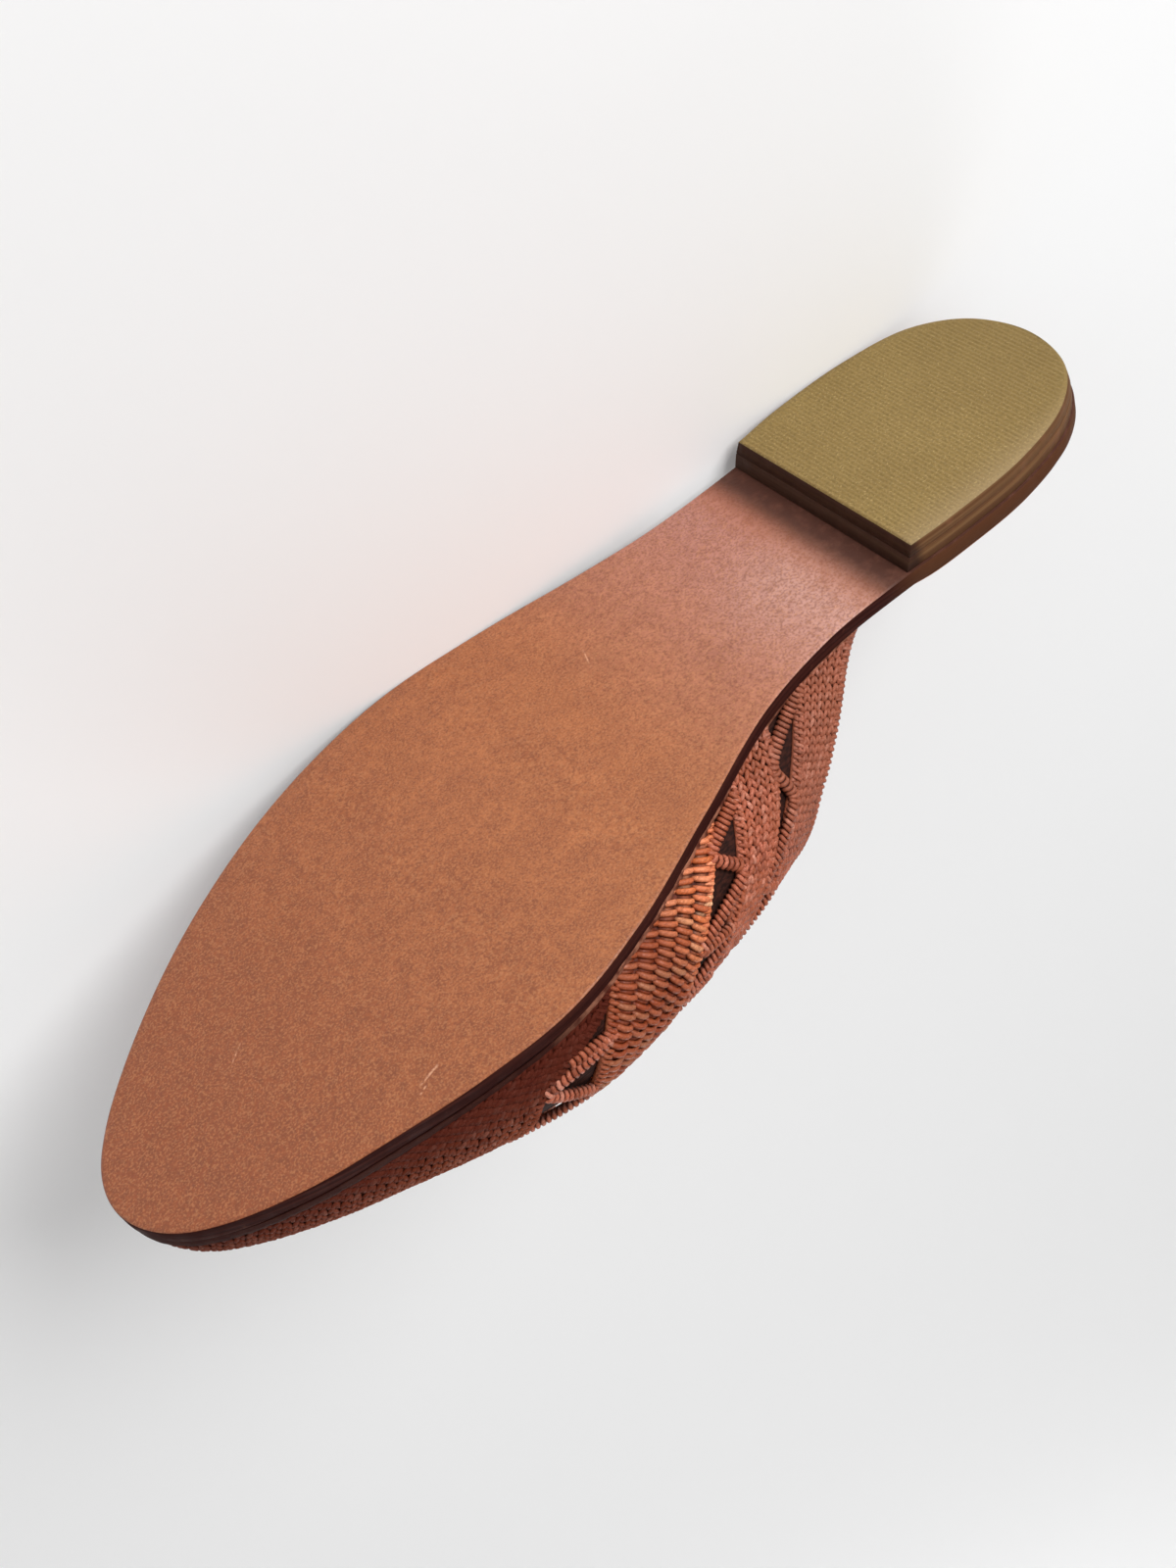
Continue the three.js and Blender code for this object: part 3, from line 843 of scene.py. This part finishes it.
def tubes(pile, points, normals, wide, thick, sides=6, look=0, crest=1.0):
    """Flattened tubes along lines of points, one tube a line; both ends are drawn in. crest is how far each
    point stands out of the weave, from 0 to 1, and sets the painted shade in the folds."""
    count, steps = points.shape[:2]
    along = np.gradient(points, axis=1)
    along /= np.linalg.norm(along, axis=-1)[..., None] + 1e-12
    up = normals - along * (normals * along).sum(-1)[..., None]
    up /= np.linalg.norm(up, axis=-1)[..., None] + 1e-12
    across = np.cross(along, up)
    draw = np.ones(steps)
    draw[[0, -1]] = END_SHARE
    angle = np.linspace(0, 2 * np.pi, sides, endpoint=False)
    ring = (
        points[:, :, None]
        + across[:, :, None] * (np.cos(angle)[:, None] * wide) * draw[:, None, None]
        + up[:, :, None] * (np.sin(angle)[:, None] * thick) * draw[:, None, None]
    )
    strand, step, turn = np.meshgrid(np.arange(count), np.arange(steps - 1), np.arange(sides), indexing="ij")
    after = (turn + 1) % sides
    base = (strand * steps + step) * sides
    faces = np.stack((base + turn, base + after, base + sides + after, base + sides + turn), -1)
    crest = np.broadcast_to(crest, (count, steps))[:, :, None] + TOP_LIGHT * np.sin(angle) - TOP_LIGHT / 2
    pile.add(ring, faces.reshape(-1, 4)[:, ::-1], look, crest)


def lengths(points):
    """Length along a line at each of its points."""
    steps = np.linalg.norm(np.diff(points, axis=0), axis=1)
    return np.concatenate(((0,), np.cumsum(steps)))


class Course:
    """A line of stitches over the foot; x_at gives its distance from the heel at each side value."""

    def __init__(self, x_at, pitch):
        self.side = np.linspace(-1, 1, COURSE_SAMPLES)
        x = x_at(self.side)
        points, normals = surface(x, self.side)
        self.length = lengths(points)
        self.count = max(3, round(self.length[-1] / pitch))
        self.pitch = self.length[-1] / self.count
        self.at = (np.arange(self.count) + 0.5) * self.pitch
        slope = np.gradient(x, self.length)
        self.slope = np.clip(np.interp(self.at, self.length, slope), -MAX_SLOPE, MAX_SLOPE)

    def sides(self, along):
        """Side values for every stitch at offsets along the course, in millimetres."""
        place = self.at[:, None] + along
        return np.interp(np.clip(place, 0, self.length[-1]), self.length, self.side)


# Charts of one stitch: along the course in pitches, across it in shares, height in shares of the rise
CHAIN = (
    ((-0.30, 0.03, 0.15), (0.02, 0.14, 0.75), (0.38, 0.29, 1.0), (0.74, 0.41, 0.75), (1.0, 0.47, 0.05)),
    ((-0.30, -0.03, 0.15), (0.02, -0.14, 0.75), (0.38, -0.29, 1.0), (0.74, -0.41, 0.75), (1.0, -0.47, 0.05)),
)
BAR = (
    (
        (0.34, -0.58, -0.1), (0.06, -0.4, 0.6), (-0.06, -0.13, 1.0),
        (-0.06, 0.13, 1.0), (0.06, 0.4, 0.6), (0.34, 0.58, -0.1),
    ),
    (
        (0.7, -0.46, -0.65), (0.52, -0.3, -0.1), (0.44, -0.1, 0.18),
        (0.44, 0.1, 0.18), (0.52, 0.3, -0.1), (0.7, 0.46, -0.65),
    ),
)


def stitches(pile, x_between, shares, pitch, chart, wide, thick, rise, seed, lean=1.0):
    """Stitches in parallel courses. x_between(side, share) is the distance from the heel; shares are the
    courses' edges. lean turns the stitches square to a slanted course, and further where it is over 1."""
    rng = np.random.default_rng(seed)
    for low, high in zip(shares, shares[1:]):
        middle, width = (low + high) / 2, high - low
        line = Course(lambda side: x_between(side, middle), pitch)
        here = line.sides(0.0)
        full_width = x_between(here, 1.0) - x_between(here, 0.0)
        for leg in chart:
            along, across, height = np.array(leg).T
            wander = rng.normal(0, 1, (line.count, 3)) * SCATTER
            share = np.clip(middle + (across[None] + wander[:, 1:2]) * width, shares[0], shares[-1])
            turned = lean * line.slope[:, None] * (share - middle) * full_width
            side = line.sides((along[None] + wander[:, :1]) * line.pitch - turned)
            points, normals = surface(x_between(side, share), side)
            points = points + normals * ((height[None] + wander[:, 2:]) * rise)[..., None]
            tubes(pile, points, normals, wide, thick, crest=height[None])


def wall(pile, x_between, shares):
    """The backing wall, closed all round."""
    crowded = np.sin(np.linspace(-np.pi / 2, np.pi / 2, WALL_ROWS))
    side = crowded * CROWDING + np.linspace(-1, 1, WALL_ROWS) * (1 - CROWDING)
    side, share = np.meshgrid(side, shares, indexing="ij")
    x = x_between(side, share)
    outside, inside = (upper_point(x, side, depth) for depth in (BACKING_DEPTH, LINING_DEPTH))
    columns = len(shares)
    pile.add(outside, grid_faces(WALL_ROWS, columns), look=1)
    pile.add(inside, grid_faces(WALL_ROWS, columns, flip=True), look=1)
    for end in (0, -1):
        pile.join(outside[:, end], inside[:, end], look=1, flip=end == -1)
    for end in (0, -1):
        i = np.arange(columns - 1)
        quads = np.stack((i, i + 1, i + columns + 1, i + columns), -1)
        pile.add(np.vstack((outside[end], inside[end])), quads if end == 0 else quads[:, ::-1], look=1)


# A band's free edge: the pitch of its overcast stitches, the depth of the roll inside them, and half the
# width and half the thickness of the roll and of a stitch
BORDER_PITCH = 1.3
ROLL_DEPTH = 0.45
ROLL_SIZE = (0.85, 0.8)
OVERCAST_SIZE = (0.46, 0.38)
# The points of a stitch: along in pitches, into the band in millimetres, height in millimetres
OVERCAST = (
    (-0.3, 1.6, 0.3), (-0.1, 0.8, 0.7), (0.05, 0.05, 0.6),
    (0.2, -0.4, 0.1), (0.3, -0.45, -0.6), (0.4, 0.0, -1.3),
)


def border(pile, name, inward):
    """The roll and overcast stitches of a free edge. inward is 1 where the band lies towards the toe."""
    line = Course(lambda side: edge(name, side), BORDER_PITCH)
    side = line.side[::6]
    points, normals = surface(edge(name, side), side)
    roll = points - normals * ROLL_DEPTH
    tubes(pile, roll[None], normals[None], *ROLL_SIZE, sides=8)
    along, across, height = np.array(OVERCAST).T
    side = line.sides(along[None] * line.pitch)
    points, normals = surface(edge(name, side), side)
    course = np.gradient(points, axis=1)
    course /= np.linalg.norm(course, axis=-1)[..., None]
    into = np.cross(normals, course)
    into *= np.sign(into[..., :1]) * inward
    points = points + into * across[None, :, None] + normals * height[None, :, None]
    tubes(pile, points, normals, *OVERCAST_SIZE, crest=np.clip(height + 0.3, 0, 1)[None])


def band(name, rear, front, courses, strands, lean=1.0, **stitch):
    """A woven band between two edges: its backing wall, its courses of stitches and both borders."""
    pile = Pile()

    def x_between(side, share):
        low, high = edge(rear, side), edge(front, side)
        return low + (high - low) * share

    wall(pile, x_between, np.linspace(0, 1, 9))
    stitches(pile, x_between, np.linspace(0.03, 0.97, courses + 1), lean=lean, **stitch)
    border(pile, rear, 1)
    border(pile, front, -1)
    pile.build(name, [strands, BACKING], ["upper"])


band(
    "collar_band", "collar_rear", "collar_front", courses=6, strands=RAFFIA,
    chart=CHAIN, pitch=1.75, wide=0.48, thick=0.4, rise=0.55, seed=1,
)
band(
    "middle_band", "middle_rear", "middle_front", courses=5, strands=RAFFIA,
    chart=CHAIN, pitch=1.8, wide=0.52, thick=0.46, rise=0.72, seed=2,
)
band(
    "forward_band", "forward_rear", "forward_front", courses=5, strands=RAFFIA_FORWARD, lean=1.25,
    chart=BAR, pitch=1.85, wide=0.62, thick=0.55, rise=0.95, seed=3,
)

# The toe cap: courses of stitches from its rear edge to the tip of the toe
TOE_X = side_lines(UPPER_INSET + BACKING_DEPTH)[0][-1, 0] - 0.02
CAP_SAMPLES = 801
CAP_COURSE_WIDTH = 2.5
# Side values at which the cap is measured
CAP_SIDES = (-0.9, -0.5, 0.02, 0.5, 0.9)


def cap_x(side, share):
    low = edge("cap_rear", side)
    return low + (TOE_X - low) * share


share_samples = np.sin(np.linspace(0, np.pi / 2, CAP_SAMPLES)) ** 1.1
cap_lengths = []
for cap_side in CAP_SIDES:
    side = np.full(CAP_SAMPLES, cap_side)
    cap_lengths.append(lengths(upper_point(cap_x(side, share_samples), side, BACKING_DEPTH)))
mean_length = np.mean(cap_lengths, axis=0)
cap_courses = round(mean_length[-1] / CAP_COURSE_WIDTH)
cap_shares = np.interp(np.linspace(0, mean_length[-1], cap_courses + 1), mean_length, share_samples)
cap = Pile()
wall(cap, cap_x, share_samples[::20])
stitches(cap, cap_x, cap_shares, chart=CHAIN, pitch=2.1, wide=0.55, thick=0.4, rise=0.45, seed=4)
border(cap, "cap_rear", 1)
cap.build("toe_cap", [RAFFIA_CAP, BACKING], ["upper"])

# Zigzag cords between the bands: the edge each starts on, the other edge, its turns from sole to ridge
ZIGZAGS = (
    ("collar_front", "middle_rear", (0.02, 0.11, 0.26, 0.36, 0.44, 0.53, 0.63, 0.74, 0.87, 1)),
    ("middle_front", "forward_rear", (0.045, 0.085, 0.235, 0.29, 0.36, 0.43, 0.52, 0.62, 0.73, 0.86, 1)),
    ("cap_rear", "forward_front", (0.185, 0.222, 0.262, 0.5, 0.62, 0.73, 0.82, 0.91, 1)),
)
# How far a turn lies under its band, the steps between turns, and the odd count of steps that rounds them
TURN_OVERLAP = 2.3
TURN_STEPS = 80
ROUNDING = 61
CORD_HALF_WIDTH = 1.2
CORD_HALF_THICKNESS = 1.0
CORD_LIFT = 0.1
# The core inside the strands: its size as a share of the cord's, its step and its sides
CORE_SHARE = 0.8
CORE_STEP = 0.9
CORE_SIDES = 10
# The strands round a cord: pitch, half width and half thickness, each point's turn from the top in degrees,
# and its way along in pitches
CORD_PITCH = 1.2
STRAND_SIZE = (0.5, 0.4)
STRAND_TURNS = np.radians((-118, -75, -35, 0, 35, 75, 118))
STRAND_SLANTS = np.array((0.55, 0.35, 0.1, 0.0, 0.1, 0.35, 0.55)) * CORD_PITCH
# How far ahead and behind a cord's direction is taken
CORD_PROBE = 0.3


def zigzag(start_name, other_name, turns):
    """The line of a cord as distance from the heel and side, with rounded turns."""
    corners = []
    for number, rise in enumerate(turns):
        here, there = (start_name, other_name) if number % 2 == 0 else (other_name, start_name)
        side = rise - 1
        inward = np.sign(edge(here, side) - edge(there, side)) * TURN_OVERLAP
        corners.append((edge(here, side) + inward, side))
    corners = np.array(corners + [(x, -side) for x, side in corners[-2::-1]])
    spans = len(corners) - 1
    i = np.linspace(0, spans, TURN_STEPS * spans + 1)
    line = np.column_stack([np.interp(i, np.arange(spans + 1), corners[:, k]) for k in (0, 1)])
    kernel = np.hanning(ROUNDING)
    kernel /= kernel.sum()
    half = ROUNDING // 2
    padded = np.vstack((np.repeat(line[:1], half, 0), line, np.repeat(line[-1:], half, 0)))
    return np.column_stack([np.convolve(padded[:, k], kernel, "valid") for k in (0, 1)])


def at_lengths(place, length, values):
    """Points or directions of a line at lengths along it."""
    return np.stack([np.interp(place, length, values[:, k]) for k in range(3)], -1)


cords = Pile()
for start_name, other_name, turns in ZIGZAGS:
    line = zigzag(start_name, other_name, turns)
    points, normals = surface(line[:, 0], line[:, 1])
    points = points + normals * CORD_LIFT
    length = lengths(points)
    total = length[-1]
    at = np.linspace(0, total, int(total / CORE_STEP))
    spine = at_lengths(at, length, points)
    facing = at_lengths(at, length, normals)
    core_size = (CORD_HALF_WIDTH * CORE_SHARE, CORD_HALF_THICKNESS * CORE_SHARE)
    tubes(cords, spine[None], facing[None], *core_size, sides=CORE_SIDES, look=1)
    centres = (np.arange(int(total / CORD_PITCH)) + 0.5) * CORD_PITCH
    place = np.clip(centres[:, None] + STRAND_SLANTS[None], 0, total)
    middle = at_lengths(place, length, points)
    up = at_lengths(place, length, normals)
    ahead = at_lengths(np.minimum(place + CORD_PROBE, total), length, points)
    behind = at_lengths(np.maximum(place - CORD_PROBE, 0), length, points)
    along = ahead - behind
    along /= np.linalg.norm(along, axis=-1)[..., None]
    out = np.cross(along, up)
    sideways = (np.sin(STRAND_TURNS) * CORD_HALF_WIDTH)[None, :, None]
    upward = (np.cos(STRAND_TURNS) * CORD_HALF_THICKNESS)[None, :, None]
    strands = middle + out * sideways + up * upward
    facing = up + out * np.sin(STRAND_TURNS)[None, :, None]
    tubes(cords, strands, facing, *STRAND_SIZE, crest=(0.15 + 0.85 * np.cos(STRAND_TURNS))[None])
cords.build("zigzag_cords", [RAFFIA, BACKING], ["upper"])

# A dark sheet inside the shoe behind the lower ends of the zigzags, a painted shadow for the shade seen
# through the openings: the edges it joins and how far up it goes, its overlap behind the bands, the depths of
# its faces, the dip of its top, and the place of its foot
SHADOW_SHEETS = (
    ("collar_front", "middle_rear", 0.38),
    ("middle_front", "forward_rear", 0.47),
    ("forward_front", "cap_rear", 0.6),
)
SHEET_OVERLAP = 2.2
SHEET_DEPTHS = (1.5, 2.1)
SHEET_DIP = 0.03
SHEET_FOOT = 0.004
SHEET_GRID = (13, 25)
sheet_pile = Pile()
for rear, front, top in SHADOW_SHEETS:
    for sign in (-1, 1):
        share, rise = np.meshgrid(*(np.linspace(0, 1, count) for count in SHEET_GRID), indexing="ij")
        rise = rise * (top - SHEET_DIP * np.sin(np.pi * share)) + SHEET_FOOT
        side = sign * (1 - rise)
        low, high = edge(rear, side) - SHEET_OVERLAP, edge(front, side) + SHEET_OVERLAP
        x = low + (high - low) * share
        outside, inside = (upper_point(x, side, depth) for depth in SHEET_DEPTHS)
        sheet_pile.add(outside, grid_faces(*SHEET_GRID, flip=sign > 0))
        sheet_pile.add(inside, grid_faces(*SHEET_GRID, flip=sign < 0))
        sheet_pile.join(rim(outside), rim(inside), flip=sign < 0)
sheet_pile.build("painted_shadow_sheet", [SHADOW_SHEET_MATERIAL], ["upper"], weld=True)

# The margin of the lining between the upper's foot and the sole, dark ahead of the ball as a painted shadow
# of
# the gap there: where it starts, its steps, the insets of its lip, its outer face and its inner face, and its
# gap over the sole
MARGIN_START = 80
MARGIN_STEPS = 260
LIP_INSET = -0.12
MARGIN_INSETS = (0.3, 2.6)
MARGIN_GAP = 0.02
margin = Pile()
ahead = np.sin(np.linspace(0, np.pi / 2, MARGIN_STEPS))
for which in (0, 1):
    ends = [side_lines(inset)[which][-1, 0] for inset in MARGIN_INSETS]
    x, x_in = (MARGIN_START + (end - MARGIN_START) * ahead for end in ends)
    far = side_y(MARGIN_INSETS[0], x)[which]
    near = side_y(MARGIN_INSETS[1], x_in)[which]
    low = seat(x) + MARGIN_GAP
    # Its height grows and wavers towards the toe, where it carries the painted gap shadow; its lip hangs over
    # the sole's edge along the ball
    tall = np.interp(x, (155, 190), (0.95, 2.6)) + 0.12 * np.sin(x * 1.3) + 0.08 * np.sin(x * 3.1 + 1)
    over = np.interp(x, (112, 135, 238, 247), (0, 1, 1, 0))
    lip = side_y(LIP_INSET, x)[which] * over + far * (1 - over)
    drop = over * np.interp(x, (160, 185), (0.85, 0.1)) * (1 + 0.17 * np.sin(x * 0.9))
    ring = [
        np.column_stack(line)
        for line in (
            (x, lip, low - drop),
            (x, lip, low + tall * 0.4),
            (x, far, low + tall * 0.8),
            (x_in, near, low + tall),
            (x_in, near, low),
            (x, far, low),
            (x, far, low - drop),
        )
    ]
    margin.add(np.stack((*ring, ring[0]), 1), grid_faces(MARGIN_STEPS, len(ring) + 1, flip=which == 1))
margin.build("lining_margin_and_gap_shadow", [MARGIN_AND_GAP_SHADOW], [])

# Floor: a pale disc, flat round the shoe, that curves up to a rim far from it; in metres
FLOOR_RADIUS = 3.2
FLAT_RADIUS = 0.9
FLOOR_CURVE = 0.42
RINGS = 28
SPOKES = 72
floor_points = [(0.0, 0.0, 0.0)]
for number in range(1, RINGS + 1):
    radius = FLOOR_RADIUS * number / RINGS
    height = FLOOR_CURVE * max(0.0, radius - FLAT_RADIUS) ** 2
    for spoke in range(SPOKES):
        angle = 2 * np.pi * spoke / SPOKES
        floor_points.append((radius * np.cos(angle), radius * np.sin(angle), height))
floor_faces = []
for spoke in range(SPOKES):
    after = (spoke + 1) % SPOKES
    floor_faces.append((0, 1 + spoke, 1 + after))
    for number in range(RINGS - 1):
        near, far = 1 + number * SPOKES, 1 + (number + 1) * SPOKES
        floor_faces.append((near + spoke, far + spoke, far + after, near + after))
floor_mesh = bpy.data.meshes.new("floor")
floor_mesh.from_pydata(floor_points, [], floor_faces)
floor_mesh.polygons.foreach_set("use_smooth", [True] * len(floor_mesh.polygons))
floor = bpy.data.objects.new("floor", floor_mesh)
scene.collection.objects.link(floor)
floor_look = Look("pale_floor", 0.75, specular=0.5)
floor_look.shader.inputs["Base Color"].default_value = (0.93, 0.93, 0.93, 1)
floor_mesh.materials.append(floor_look.material)
floor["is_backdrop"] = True

# Soft studio light
world = bpy.data.worlds.new("studio")
scene.world = world
world.use_nodes = True
sky = world.node_tree.nodes["Background"]
sky.inputs["Color"].default_value = (1, 1, 1, 1)
sky.inputs["Strength"].default_value = 0.4
LIGHT_TARGET = (0, 0, 0.04)


def soft_light(name, place, size, power):
    """A round light of a size in metres and a power in watts, turned to the shoe."""
    lamp = bpy.data.lights.new(name, "AREA")
    lamp.shape = "DISK"
    lamp.size = size
    lamp.energy = power
    light = bpy.data.objects.new(name, lamp)
    light.location = place
    light.rotation_mode = "QUATERNION"
    light.rotation_quaternion = (Vector(LIGHT_TARGET) - Vector(place)).to_track_quat("-Z", "Y")
    light.visible_camera = False
    scene.collection.objects.link(light)


soft_light("key", (-0.66, -1.0, 0.85), size=0.8, power=17.5)
soft_light("fill", (1.1, -1.0, 0.5), size=0.9, power=2)
soft_light("back", (0.2, 1.5, 0.55), size=1.0, power=6)

# Camera: the photograph's viewpoint to the shoe, rolled with it, turned and lengthened to frame the one shoe
CAMERA_PLACE = (0.0695, -0.3010, 0.2850)
RIGHT = Vector((-0.81231, 0.25804, 0.52304))
DOWN = Vector((0.5604, 0.5938, 0.57737))
FORWARD = Vector((-0.1616, 0.76212, -0.62695))
lens = bpy.data.cameras.new("camera")
lens.lens = 42.795
lens.sensor_width = 36
lens.clip_start = 0.01
camera = bpy.data.objects.new("camera", lens)
camera_turn = Matrix((RIGHT, -DOWN, -FORWARD)).transposed()
camera.matrix_world = Matrix.Translation(CAMERA_PLACE) @ camera_turn.to_4x4()
scene.collection.objects.link(camera)
scene.camera = camera
scene.view_settings.view_transform = "Standard"

low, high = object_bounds()
